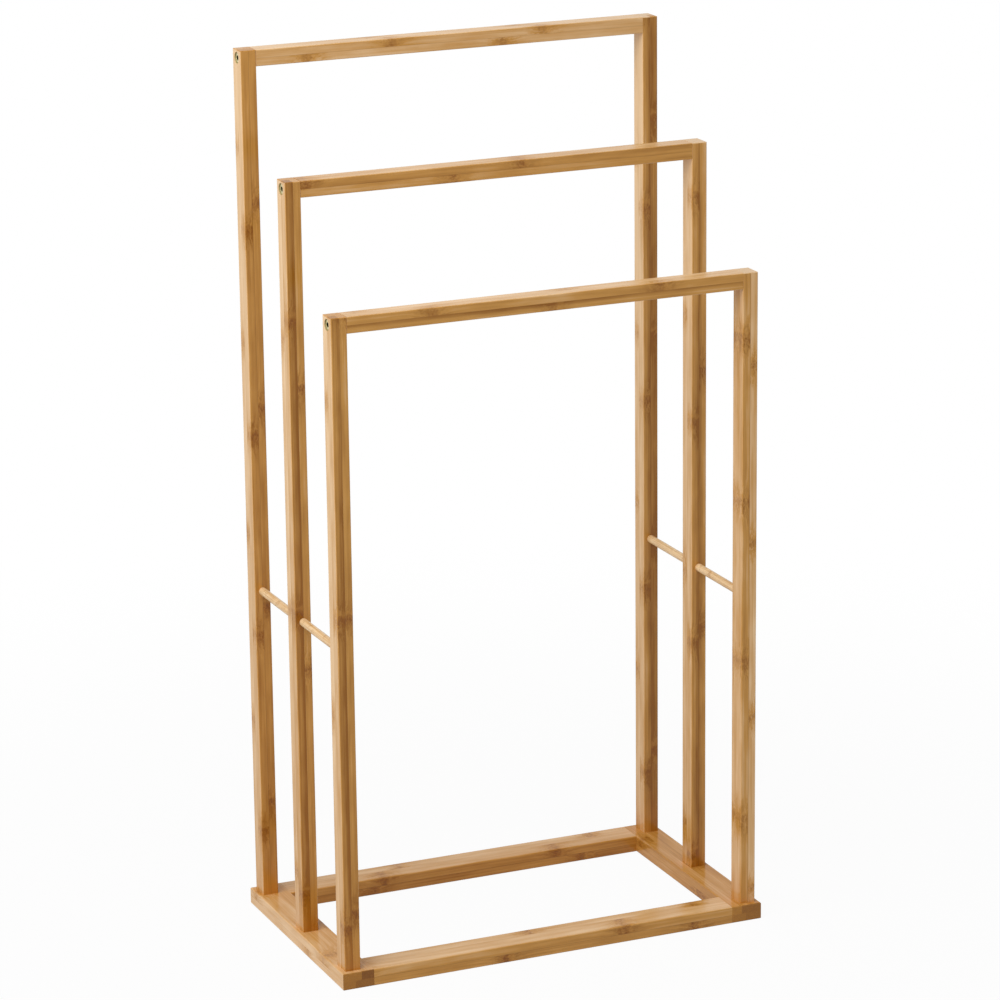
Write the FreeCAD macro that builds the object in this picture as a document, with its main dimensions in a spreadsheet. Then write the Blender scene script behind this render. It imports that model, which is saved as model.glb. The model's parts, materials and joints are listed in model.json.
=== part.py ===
import FreeCAD, Part
import os
import re

import Sketcher

# Freestanding towel stand of laminated bamboo: three towel bars, each taller than the one in
# front of it, on an open base frame. Millimetres. The origin is the middle of the base's
# underside, +Z is up and the lowest bar is towards -Y.

# Driving sizes: every size that can be set by itself, written once.
SIZES = {
    # base frame: two runners from front to back, two rails tenoned between them
    "base_width": 420,
    "base_depth": 240,
    "base_thickness": 16,
    "runner_width": 30,
    "rail_width": 30,
    "base_edge_radius": 1.2,
    "tenon_length": 10,
    "tenon_width": 18,
    "tenon_thickness": 6,
    # posts and the towel bars between them
    "post_width": 15,
    "post_depth": 20,
    "post_side_inset": 4,
    "post_end_inset": 5,
    "front_height": 620,
    "middle_height": 720,
    "rear_height": 820,
    "bar_thickness": 15,
    "bar_depth": 20,
    "stick_edge_radius": 1,
    "post_top_bevel": 0.6,
    # spindles that tie the posts of a side together
    "spindle_diameter": 7.6,
    "spindle_height": 315,
    "spindle_seat": 8,
    # furniture screws, each with a round head and a hexagon socket, sunk below the surface
    "screw_length": 50,
    "screw_shank_diameter": 6.4,
    "screw_head_diameter": 9.2,
    "screw_head_thickness": 3.5,
    "screw_recess": 0.8,
    "socket_width": 4,
    "socket_depth": 3,
    # clearances
    "bore_clearance": 0.1,
    "head_clearance": 1.4,
    "seat_gap": 0.05,
    "end_gap": 0.5,
}

# Places and sizes that follow from the driving sizes.
FOLLOWING = {
    "opening_half_width": "(base_width / 2 - runner_width)",
    "opening_half_depth": "(base_depth / 2 - rail_width)",
    "rail_y": "(base_depth / 2 - rail_width / 2)",
    "post_face_x": "(base_width / 2 - post_side_inset)",
    "post_x": "(post_face_x - post_width / 2)",
    "row_spacing": "(base_depth / 2 - post_end_inset - post_depth / 2)",
    # a bar fills the space between its posts, its front flush with theirs
    "bar_length": "(2 * post_x - post_width)",
    "bar_y": "((bar_depth - post_depth) / 2)",
    "spindle_length": "(row_spacing - post_depth + 2 * spindle_seat)",
    "screw_bore": "(screw_shank_diameter + bore_clearance)",
    "screw_reach": "(screw_recess + screw_length + end_gap)",
    "head_bore": "(screw_head_diameter + head_clearance)",
    "head_bore_depth": "(screw_recess + screw_head_thickness + seat_gap)",
    # lines that lie outside the base all round, for the cut that frees one of its pieces
    "outside_x": "(base_width * 0.6)",
    "outside_y": "(base_depth * 0.6)",
}

SIDES = {"left": -1, "right": 1}

# Each row of posts: its height and its place from front to back.
ROWS = {
    "front": ("front_height", "-row_spacing"),
    "middle": ("middle_height", "0"),
    "rear": ("rear_height", "row_spacing"),
}

# Directions: the axes, and a bore's way along or against its sketch plane's normal.
X, Y, Z = FreeCAD.Vector(1, 0, 0), FreeCAD.Vector(0, 1, 0), FreeCAD.Vector(0, 0, 1)
ALONG, AGAINST = True, False

doc = FreeCAD.newDocument("towel_stand")
sheet = doc.addObject("Spreadsheet::Sheet", "sizes")
for row, (alias, value) in enumerate(SIZES.items(), start=1):
    sheet.set(f"A{row}", alias)
    sheet.set(f"B{row}", str(value))
    sheet.setAlias(f"B{row}", alias)
doc.recompute()


def formula(text):
    """Return a formula in the names above as one that reads the sheet."""
    def replace(match):
        name = match.group()
        if name in FOLLOWING:
            return formula(FOLLOWING[name])
        return f"sizes.{name}" if name in SIZES else name
    return re.sub(r"[a-z_]+", replace, str(text))


def evaluate(text):
    """Return the present value of a formula."""
    return float(sheet.evalExpression(formula(text)))


def bind(thing, **formulas):
    """Bind properties of a document object to formulas."""
    for name, text in formulas.items():
        thing.setExpression(name, formula(text))


def place(thing, east="0", north="0", up="0"):
    """Bind the place of a document object to three formulas."""
    for axis, text in (("x", east), ("y", north), ("z", up)):
        thing.setExpression(f"Placement.Base.{axis}", formula(text))


def new_body(name):
    """Add a body whose label names its piece."""
    body = doc.addObject("PartDesign::Body", name)
    body.Label = name
    return body


def add_sketch(body, plane, offset="0"):
    """Attach a sketch to an origin plane of its body, moved along the plane's normal."""
    sketch = body.newObject("Sketcher::SketchObject", f"{body.Name}_sketch")
    support = next(item for item in body.Origin.OriginFeatures if item.Role == plane)
    sketch.AttachmentSupport = [(support, "")]
    sketch.MapMode = "FlatFace"
    sketch.setExpression("AttachmentOffset.Base.z", formula(offset))
    return sketch


def hold(sketch, kind, geometry, point, text):
    """Hold a point of a sketch at a distance from the sketch origin."""
    index = sketch.addConstraint(Sketcher.Constraint(kind, -1, 1, geometry, point, 1.0))
    sketch.setExpression(f"Constraints[{index}]", formula(text))


def draw_outline(sketch, points):
    """Draw a closed outline through points that are pairs of formulas."""
    first = sketch.GeometryCount
    count = len(points)
    corners = [FreeCAD.Vector(evaluate(across), evaluate(along)) for across, along in points]
    for index in range(count):
        sketch.addGeometry(Part.LineSegment(corners[index], corners[(index + 1) % count]))
    for index in range(count):
        following = first + (index + 1) % count
        sketch.addConstraint(Sketcher.Constraint("Coincident", first + index, 2, following, 1))
    for index, (across, along) in enumerate(points):
        hold(sketch, "DistanceX", first + index, 1, across)
        hold(sketch, "DistanceY", first + index, 1, along)


def draw_rectangle(sketch, west, east, south, north):
    """Draw a rectangle between four formulas."""
    draw_outline(sketch, [(west, south), (east, south), (east, north), (west, north)])


def draw_circle(sketch, across, along, diameter):
    """Draw a circle whose centre and diameter are formulas."""
    centre = FreeCAD.Vector(evaluate(across), evaluate(along))
    radius = evaluate(diameter) / 2
    index = sketch.addGeometry(Part.Circle(centre, FreeCAD.Vector(0, 0, 1), radius))
    hold(sketch, "DistanceX", index, 3, across)
    hold(sketch, "DistanceY", index, 3, along)
    constraint = sketch.addConstraint(Sketcher.Constraint("Diameter", index, 2 * radius))
    sketch.setExpression(f"Constraints[{constraint}]", formula(diameter))


def pad(body, sketch, length):
    """Pad a sketch along its normal."""
    feature = body.newObject("PartDesign::Pad", f"{body.Name}_pad")
    feature.Profile = sketch
    bind(feature, Length=length)
    doc.recompute()
    return feature


def ease_edges(body, feature_type, chosen, **size):
    """Round or bevel the edges of a body that a test chooses."""
    base = body.Tip
    names = [f"Edge{n}" for n, edge in enumerate(base.Shape.Edges, start=1) if chosen(edge)]
    eased = body.newObject(feature_type, f"{body.Name}_eased")
    eased.Base = (base, names)
    bind(eased, **size)
    doc.recompute()


def check_cut(feature, volume_before):
    """Make sure that a cut removes material, and so goes the right way."""
    if not feature.Shape.Volume < volume_before:
        raise RuntimeError(f"{feature.Label} removes nothing")


def drill(body, plane, offset, way, centres, diameter, depth=None, for_head=False):
    """Bore flat-ended holes from a plane, right through where no depth is given.

    A hole for a screw head gets a wider mouth with a flat floor that the head seats on.
    """
    before = body.Tip.Shape.Volume
    sketch = add_sketch(body, plane, offset)
    for across, along in centres:
        draw_circle(sketch, across, along, diameter)
    doc.recompute()
    hole = body.newObject("PartDesign::Hole", f"{body.Name}_bore")
    hole.Profile = sketch
    doc.recompute()
    hole.ThreadType = "None"
    hole.Threaded = False
    hole.Reversed = way
    hole.DrillPoint = "Flat"
    hole.DepthType = "Dimension" if depth else "ThroughAll"
    bind(hole, Diameter=diameter)
    if depth:
        bind(hole, Depth=depth)
    if for_head:
        hole.HoleCutType = "Counterbore"
        bind(hole, HoleCutDiameter="head_bore", HoleCutDepth="head_bore_depth")
    doc.recompute()
    check_cut(hole, before)


def is_straight(edge, direction):
    """Tell whether an edge is a line along a direction."""
    if edge.Curve.TypeId != "Part::GeomLine":
        return False
    return abs(abs(edge.Curve.Direction.dot(direction)) - 1) < 1e-6


def frame_piece(name, west, east, south, north):
    """Cut one piece out of the base frame, whose edges are rounded after it is glued up.

    The four formulas bound the piece. Where it reaches the frame's edge they lie outside it.
    """
    body = new_body(name)
    outline = add_sketch(body, "XY_Plane")
    draw_rectangle(outline, "-base_width / 2", "base_width / 2", "-base_depth / 2", "base_depth / 2")
    draw_rectangle(outline, "-opening_half_width", "opening_half_width",
                   "-opening_half_depth", "opening_half_depth")
    pad(body, outline, "base_thickness")
    ease_edges(body, "PartDesign::Fillet", lambda edge: not is_straight(edge, Z),
               Radius="base_edge_radius")
    rest = add_sketch(body, "XY_Plane")
    draw_rectangle(rest, "-base_width", "base_width", "-base_depth", "base_depth")
    draw_rectangle(rest, west, east, south, north)
    before = body.Tip.Shape.Volume
    cut = body.newObject("PartDesign::Pocket", f"{name}_cut")
    cut.Profile = rest
    cut.Type = "ThroughAll"
    cut.Reversed = True
    doc.recompute()
    check_cut(cut, before)
    return body


def tenon_outline(sketch, sign, clearance="0"):
    """Draw the outline of a rail's tenon, seen along X, with a clearance all round."""
    half_width = f"(tenon_width / 2 + {clearance})"
    half_thickness = f"(tenon_thickness / 2 + {clearance})"
    draw_rectangle(sketch, f"{sign} * rail_y - {half_width}", f"{sign} * rail_y + {half_width}",
                   f"base_thickness / 2 - {half_thickness}", f"base_thickness / 2 + {half_thickness}")


def make_runner(side, sign):
    """Make a runner, bored for its posts' screws and slotted for its rails' tenons."""
    inner = f"{sign} * opening_half_width"
    outer = f"{sign} * outside_x"
    west, east = (outer, inner) if sign < 0 else (inner, outer)
    body = frame_piece(f"{side}_runner", west, east, "-outside_y", "outside_y")
    posts = [(f"{sign} * post_x", y) for height, y in ROWS.values()]
    drill(body, "XY_Plane", "0", ALONG, posts, "screw_bore", for_head=True)
    before = body.Tip.Shape.Volume
    outline = add_sketch(body, "YZ_Plane", inner)
    for end_sign in (-1, 1):
        tenon_outline(outline, end_sign, "seat_gap")
    mortises = body.newObject("PartDesign::Pocket", f"{body.Name}_mortises")
    mortises.Profile = outline
    mortises.Reversed = sign > 0
    bind(mortises, Length="tenon_length + end_gap")
    doc.recompute()
    check_cut(mortises, before)
    return body


def make_rail(end, sign):
    """Make a rail with a tenon at each end."""
    inner = f"{sign} * opening_half_depth"
    outer = f"{sign} * outside_y"
    south, north = (outer, inner) if sign < 0 else (inner, outer)
    body = frame_piece(f"{end}_rail", "-opening_half_width", "opening_half_width", south, north)
    for side, side_sign in SIDES.items():
        outline = add_sketch(body, "YZ_Plane", f"{side_sign} * opening_half_width")
        tenon_outline(outline, sign)
        tenon = pad(body, outline, "tenon_length")
        tenon.Reversed = side_sign < 0
    doc.recompute()
    return body


def make_post(side, sign, row, height, y):
    """Make a post, bored for its two screws and for the spindles that it carries."""
    body = new_body(f"{row}_{side}_post")
    section = add_sketch(body, "XY_Plane")
    draw_rectangle(section, "-post_width / 2", "post_width / 2", "-post_depth / 2", "post_depth / 2")
    stick = pad(body, section, f"{height} - base_thickness")
    top = stick.Shape.BoundBox.ZMax
    ease_edges(body, "PartDesign::Chamfer", lambda edge: abs(edge.CenterOfMass.z - top) < 1e-6,
               Size="post_top_bevel")
    ease_edges(body, "PartDesign::Fillet", lambda edge: is_straight(edge, Z),
               Radius="stick_edge_radius")
    drill(body, "XY_Plane", "0", ALONG, [("0", "0")], "screw_bore", "screw_reach - base_thickness")
    drill(body, "YZ_Plane", f"{sign} * post_width / 2", ALONG if sign < 0 else AGAINST,
          [("bar_y", f"{height} - base_thickness - bar_thickness / 2")], "screw_bore", for_head=True)
    for face in {"front": ("rear",), "middle": ("front", "rear"), "rear": ("front",)}[row]:
        offset, way = ("post_depth / 2", AGAINST) if face == "front" else ("-post_depth / 2", ALONG)
        drill(body, "XZ_Plane", offset, way, [("0", "spindle_height - base_thickness")],
              "spindle_diameter + bore_clearance", "spindle_seat + end_gap")
    place(body, f"{sign} * post_x", y, "base_thickness")
    return body


def make_crossbar(row, height, y):
    """Make a towel bar, bored at both ends for its screws."""
    body = new_body(f"{row}_crossbar")
    section = add_sketch(body, "YZ_Plane", "-bar_length / 2")
    draw_rectangle(section, "-bar_depth / 2", "bar_depth / 2",
                   "-bar_thickness / 2", "bar_thickness / 2")
    pad(body, section, "bar_length")
    ease_edges(body, "PartDesign::Fillet", lambda edge: is_straight(edge, X),
               Radius="stick_edge_radius")
    for way, offset in ((ALONG, "-bar_length / 2"), (AGAINST, "bar_length / 2")):
        drill(body, "YZ_Plane", offset, way, [("0", "0")], "screw_bore", "screw_reach - post_width")
    place(body, "0", f"{y} + bar_y", f"{height} - bar_thickness / 2")
    return body


def make_spindle(side, sign, pair, half):
    """Make a spindle that ties two neighbouring posts of a side together."""
    body = new_body(f"{side}_{pair}_spindle")
    section = add_sketch(body, "XZ_Plane", "-spindle_length / 2")
    draw_circle(section, "0", "0", "spindle_diameter")
    pad(body, section, "spindle_length")
    place(body, f"{sign} * post_x", f"{half} * row_spacing / 2", "spindle_height")
    return body


def make_screw():
    """Make the furniture screw, its head's top at the origin and its point towards +Z."""
    body = new_body("screw")
    profile = add_sketch(body, "XZ_Plane")
    head, shank = (f"screw_{part}_diameter / 2" for part in ("head", "shank"))
    draw_outline(profile, [
        ("0", "0"),
        (head, "0"),
        (head, "screw_head_thickness"),
        (shank, "screw_head_thickness"),
        (shank, "screw_length"),
        ("0", "screw_length"),
    ])
    turned = body.newObject("PartDesign::Revolution", "screw_turned")
    turned.Profile = profile
    turned.ReferenceAxis = (profile, ["V_Axis"])
    turned.Angle = 360
    doc.recompute()
    hexagon = add_sketch(body, "XY_Plane")
    draw_outline(hexagon, [(f"socket_width / sqrt(3) * cos({angle})",
                            f"socket_width / sqrt(3) * sin({angle})")
                           for angle in range(0, 360, 60)])
    socket = body.newObject("PartDesign::Pocket", "screw_socket")
    socket.Profile = hexagon
    socket.Reversed = True
    bind(socket, Length="socket_depth")
    doc.recompute()
    check_cut(socket, turned.Shape.Volume)
    return body


def set_of(name, master, places):
    """Group copies of a fastener as separate solids, each at its place and turned about Y."""
    copies = []
    for east, north, up, turn in places:
        copy = doc.addObject("App::Link", f"{name}_copy")
        copy.LinkedObject = master
        copy.Placement = FreeCAD.Placement(FreeCAD.Vector(), FreeCAD.Rotation(Y, turn))
        place(copy, east, north, up)
        copies.append(copy)
    group = doc.addObject("Part::Compound", name)
    group.Label = name
    group.Links = copies
    return group


nodes = []

for side, sign in SIDES.items():
    nodes.append(make_runner(side, sign))
for end, sign in (("front", -1), ("rear", 1)):
    nodes.append(make_rail(end, sign))

for row, (height, y) in ROWS.items():
    for side, sign in SIDES.items():
        nodes.append(make_post(side, sign, row, height, y))
    nodes.append(make_crossbar(row, height, y))

for side, sign in SIDES.items():
    for pair, half in (("front", -1), ("rear", 1)):
        nodes.append(make_spindle(side, sign, pair, half))

# The screws: one into each end of a towel bar, and one up into the foot of each post.
screw = make_screw()
for row, (height, y) in ROWS.items():
    places = [(f"{sign} * (post_face_x - screw_recess)", f"{y} + bar_y",
               f"{height} - bar_thickness / 2", -90 * sign) for sign in SIDES.values()]
    nodes.append(set_of(f"{row}_crossbar_screws", screw, places))
for side, sign in SIDES.items():
    places = [(f"{sign} * post_x", y, "screw_recess", 0) for height, y in ROWS.values()]
    nodes.append(set_of(f"{side}_post_screws", screw, places))

doc.recompute()

for thing in doc.Objects:
    if {"Invalid", "Error"} & set(thing.State):
        raise RuntimeError(f"{thing.Label}: {thing.State}")

os.makedirs("parts", exist_ok=True)
for node in nodes:
    shape = node.Shape
    if shape.isNull() or not shape.isValid():
        raise RuntimeError(f"{node.Label}: its shape is empty or not valid")
    shape.exportStep(f"parts/{node.Label}.step")
    print(node.Label, len(shape.Solids), round(shape.Volume, 1))
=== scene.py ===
"""A freestanding bamboo towel stand: three stepped hoops on a low base frame.

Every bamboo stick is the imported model's own solid, dressed as laminated bamboo whose
strips, knuckles and glue lines are laid out stick by stick. The socket screws are built
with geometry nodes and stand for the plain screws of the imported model.
"""

import json
import logging
import math
from collections.abc import Callable
from dataclasses import dataclass
from enum import Enum
from functools import partial
from itertools import accumulate
from typing import Any

import bmesh
import bpy
from mathutils import Matrix, Vector

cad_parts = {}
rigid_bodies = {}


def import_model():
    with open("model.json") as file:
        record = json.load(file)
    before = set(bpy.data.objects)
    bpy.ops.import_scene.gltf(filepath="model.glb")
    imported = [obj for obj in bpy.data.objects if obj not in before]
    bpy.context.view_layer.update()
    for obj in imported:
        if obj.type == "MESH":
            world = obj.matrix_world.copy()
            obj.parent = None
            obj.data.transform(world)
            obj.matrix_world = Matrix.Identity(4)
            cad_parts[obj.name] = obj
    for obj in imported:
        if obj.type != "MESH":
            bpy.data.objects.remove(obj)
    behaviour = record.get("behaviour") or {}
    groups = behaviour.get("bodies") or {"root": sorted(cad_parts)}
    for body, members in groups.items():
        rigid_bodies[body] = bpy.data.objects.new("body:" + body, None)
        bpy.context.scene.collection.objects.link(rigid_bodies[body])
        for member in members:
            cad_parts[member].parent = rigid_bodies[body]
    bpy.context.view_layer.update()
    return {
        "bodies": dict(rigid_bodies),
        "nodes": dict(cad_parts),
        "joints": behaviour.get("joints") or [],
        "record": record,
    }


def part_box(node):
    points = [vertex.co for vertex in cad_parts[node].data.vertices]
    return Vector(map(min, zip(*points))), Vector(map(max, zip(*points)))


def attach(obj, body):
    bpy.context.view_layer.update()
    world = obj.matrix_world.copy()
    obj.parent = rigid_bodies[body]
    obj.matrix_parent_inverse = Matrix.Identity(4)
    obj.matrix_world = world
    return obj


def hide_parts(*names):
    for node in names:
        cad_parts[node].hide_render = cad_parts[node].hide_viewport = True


LOG = logging.getLogger("towel_stand")

MM = 0.001
IMAGE_SIDE_PX = 1000
SOCKET_ATTRIBUTE = "socket"

MATH = "ShaderNodeMath"
MIX = "ShaderNodeMix"
NOISE = "ShaderNodeTexNoise"
RAMP = "ShaderNodeValToRGB"
RANGE = "ShaderNodeMapRange"
VECTORS = "ShaderNodeVectorMath"

Adder = Callable[..., bpy.types.Node]
Source = bpy.types.NodeSocket | bpy.types.Node
Colour = tuple[float, float, float, float]
Triple = tuple[float, float, float]
Pair = tuple[float, float]
Stops = tuple[tuple[float, Colour], ...]
BLACK: Colour = (0.0, 0.0, 0.0, 1.0)
WHITE: Colour = (1.0, 1.0, 1.0, 1.0)


def to_linear(colour: str) -> Colour:
    """Turns an sRGB hex colour to a linear one.

    Args:
        colour: Six hex digits after a hash sign.

    Returns:
        Linear red, green and blue, and an alpha of 1.
    """
    channels = (int(colour[i : i + 2], 16) / 255 for i in (1, 3, 5))
    linear = (c / 12.92 if c <= 0.04045 else ((c + 0.055) / 1.055) ** 2.4 for c in channels)
    return (*linear, 1.0)


def toned(*tones: tuple[float, str]) -> Stops:
    """Turns places and hex colours to the stops of a colour ramp."""
    return tuple((place, to_linear(colour)) for place, colour in tones)


def add_node(
    tree: bpy.types.NodeTree,
    kind: str,
    inputs: dict[str | int, Any] | None = None,
    operation: str = "",
    stops: Stops = (),
    **settings: Any,
) -> bpy.types.Node:
    """Adds a node with its settings, values and links.

    Args:
        tree: The node tree that gets the node.
        kind: The node's type name.
        inputs: A value for each named or numbered input, or what feeds it: a socket, or a node
            that stands for its first output.
        operation: What a maths node does.
        stops: The places and linear colours of a colour ramp, from low to high.
        settings: The node's own properties.

    Returns:
        The new node.
    """
    node = tree.nodes.new(kind)
    if operation:
        node.operation = operation
    for name, value in settings.items():
        setattr(node, name, value)
    for key, value in (inputs or {}).items():
        source = value.outputs[0] if isinstance(value, bpy.types.Node) else value
        if isinstance(source, bpy.types.NodeSocket):
            tree.links.new(source, node.inputs[key])
        else:
            node.inputs[key].default_value = source
    if stops:
        elements = node.color_ramp.elements
        elements.remove(elements[1])
        elements[0].position, elements[0].color = stops[0]
        for place, colour in stops[1:]:
            elements.new(place).color = colour
    return node


def blank_material(name: str) -> tuple[bpy.types.Material, Adder]:
    """Makes a material with an empty node tree.

    Args:
        name: The material's name.

    Returns:
        The material, and what adds a node to it.
    """
    material = bpy.data.materials.new(name)
    material.use_nodes = True
    material.node_tree.nodes.clear()
    return material, partial(add_node, material.node_tree)


def paint(part: bpy.types.Object, material: bpy.types.Material) -> None:
    """Gives a part one material.

    Args:
        part: The part to paint.
        material: Its material.
    """
    part.data.materials.clear()
    part.data.materials.append(material)
    for face in part.data.polygons:
        face.material_index = 0


class Grain(Enum):
    """The way a stick runs, as the axes of its own frame: through, across and along."""

    UPRIGHT = ((1, 0, 0), (0, 1, 0), (0, 0, 1))
    SIDE_TO_SIDE = ((0, 0, 1), (0, -1, 0), (1, 0, 0))
    FRONT_TO_BACK = ((0, 0, 1), (1, 0, 0), (0, 1, 0))

    def turn(self) -> Matrix:
        """The rotation that carries the stick's own frame to the stand's."""
        return Matrix(self.value).transposed()


class Skin(Enum):
    """Where a layer's dense outer skin is full and where it is gone, in mm from the glue line."""

    GLUE_LINE = (0.4, 4.6)
    NONE = (-2.0, -1.0)  # gone before the layer starts


@dataclass(frozen=True)
class Strip:
    """One split of bamboo: its tone, 0 pale to 1 brown, and in mm its width, knuckle and internode."""

    width: float
    tone: float
    knuckle: float
    internode: float


@dataclass(frozen=True)
class Layer:
    """Strips glued edge to edge, listed across the stick; lengths in millimetres."""

    strips: tuple[Strip, ...]
    skin: Skin = Skin.NONE
    joint: float = 0.35  # half of the thin joint between two strips

    def edges(self) -> tuple[float, ...]:
        """Where each strip starts, in millimetres across the stick."""
        return tuple(accumulate((strip.width for strip in self.strips), initial=0.0))[:-1]

    def fact_stops(self, wide: float) -> Stops:
        """Packs each strip's facts into a colour: tone, first knuckle and internode.

        Args:
            wide: The stick's width in millimetres.

        Returns:
            A stop at each strip's start; the knuckle and the internode are in metres.
        """
        return tuple(
            (edge / wide, (strip.tone, strip.knuckle * MM, strip.internode * MM, 1.0))
            for edge, strip in zip(self.edges(), self.strips)
        )

    def joint_stops(self, wide: float) -> Stops:
        """Marks the joints between strips with white peaks.

        Args:
            wide: The stick's width in millimetres.

        Returns:
            The stops of the mask.
        """
        peaks = tuple(
            ((edge + side * self.joint) / wide, colour)
            for edge in self.edges()[1:]
            for side, colour in ((-1, BLACK), (0, WHITE), (1, BLACK))
        )
        return ((0.0, BLACK), *peaks)


@dataclass(frozen=True)
class Stick:
    """A laminated stick of two layers, the lower first along its through axis.

    Its seed picks its own stretch of the pattern, its warmth and lines say how amber it is
    and how strongly its fibres show, pale_and_lit how much lighter its faces through and
    across the layers are than the others, partly as their own colour and partly as painted
    light on the lit tops and sides, seam how dark its glue lines are, sawn how dark its end
    grain is, scars how plain its knuckles are, and lit_climb how much the painted light makes
    a post lighter towards its top.
    """

    node: str
    grain: Grain
    lower: Layer
    upper: Layer
    seed: float
    warmth: float = 0.0
    lines: float = 1.0
    # partly the broad faces' own lighter colour, partly painted light on the lit tops and sides
    pale_and_lit: Pair = (0.44, 0.0)
    seam: float = 0.45
    sawn: float = 0.12
    scars: float = 1.0
    # how much the painted light makes a post lighter towards its top
    lit_climb: float = 1.0


@dataclass(frozen=True)
class BambooColours:
    """Colours of the bamboo itself, under its clear lacquer, and the painted shade on the walls of its
    screw holes.
    """

    pale: str = "#F0CA9A"
    honey: str = "#CB9449"
    brown: str = "#935C14"
    halo: str = "#A65E14"
    knuckle: str = "#6E3A04"
    ridge: str = "#DCA04C"
    glue: str = "#64380C"
    amber: str = "#CC7A14"
    end_pale: str = "#E2BC8C"
    end_honey: str = "#C68A36"
    end_dark: str = "#78440A"
    # painted shade: a greyish olive for the shaded ring round each screw head
    hole_shade: str = "#B9AA78"


@dataclass(frozen=True)
class BambooScale:
    """Real sizes of the bamboo's pattern, in millimetres.

    The first four are a line's width, its length, and the detail of its noise.
    """

    fibre: Triple = (0.55, 28.0, 1.0)  # one row of fibre bundles
    streak: Triple = (1.6, 150.0, 2.0)  # a run of denser fibres
    drift: Triple = (6.0, 110.0, 1.0)  # slow change of colour over a strip
    blotch: Triple = (9.0, 42.0, 2.0)  # a darker or paler length of a strip
    swirl: float = 4.0  # a bend of the fibres round a knuckle
    push: float = 5.0  # how far the bend moves them
    bundle: float = 0.9  # one fibre bundle on a sawn end, drawn coarse enough to show
    glue: float = 0.2  # half of a glue line, drawn wide enough to show


@dataclass(frozen=True)
class KnuckleScar:
    """How a knuckle's scar is made up: lengths in millimetres, the rest as shares."""

    half: float = 4.6  # half the length of its fuzzy band
    line: float = 1.0  # half of the dark line in it
    reach: float = 3.2  # how far it bends the fibres, in halves of the band
    ridge: float = 0.5  # half of the pale ridge beside it, in the same
    ridge_past: float = 1.3  # how far the ridge lies from the band's middle, in the same
    wobble: float = 5.0  # a wave across the scar
    sway: float = 4.5  # how far the wave moves it
    fleck: float = 1.3  # the width of one fleck
    fleck_run: float = 0.45  # how slowly flecks change along the fibres
    sparse: float = 0.44  # the noise where a fleck starts
    dense: float = 0.62  # and where it is full
    haze: float = 0.05  # what darkens the band between flecks
    line_share: float = 0.14
    soft: Pair = (0.6, 0.4)  # what flecks add to the warm patch, and its least


@dataclass(frozen=True)
class BambooShares:
    """How much each part of the pattern counts."""

    fibre: float = 0.5  # the fibres beside the streaks
    middle: float = 0.75  # the middle of the two together
    fine: float = 0.5  # from here on, shares of the tone
    drift: float = 0.42
    blotch: float = 0.48
    skin: float = 0.3
    tail: float = 0.5
    ridge: float = 0.25  # from here on, shares of a tint
    halo: float = 0.42
    fleck: float = 0.56
    fading: float = 1.75  # how fast scars and amber fade as a face gets paler
    dots: float = 0.2  # the fibre bundles on a sawn end
    end_contrast: float = 2.4  # how far its strips differ
    pits: float = 0.6  # how deep flecks lie in the relief
    sheen: Pair = (0.42, 0.62)  # least and most roughness


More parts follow.
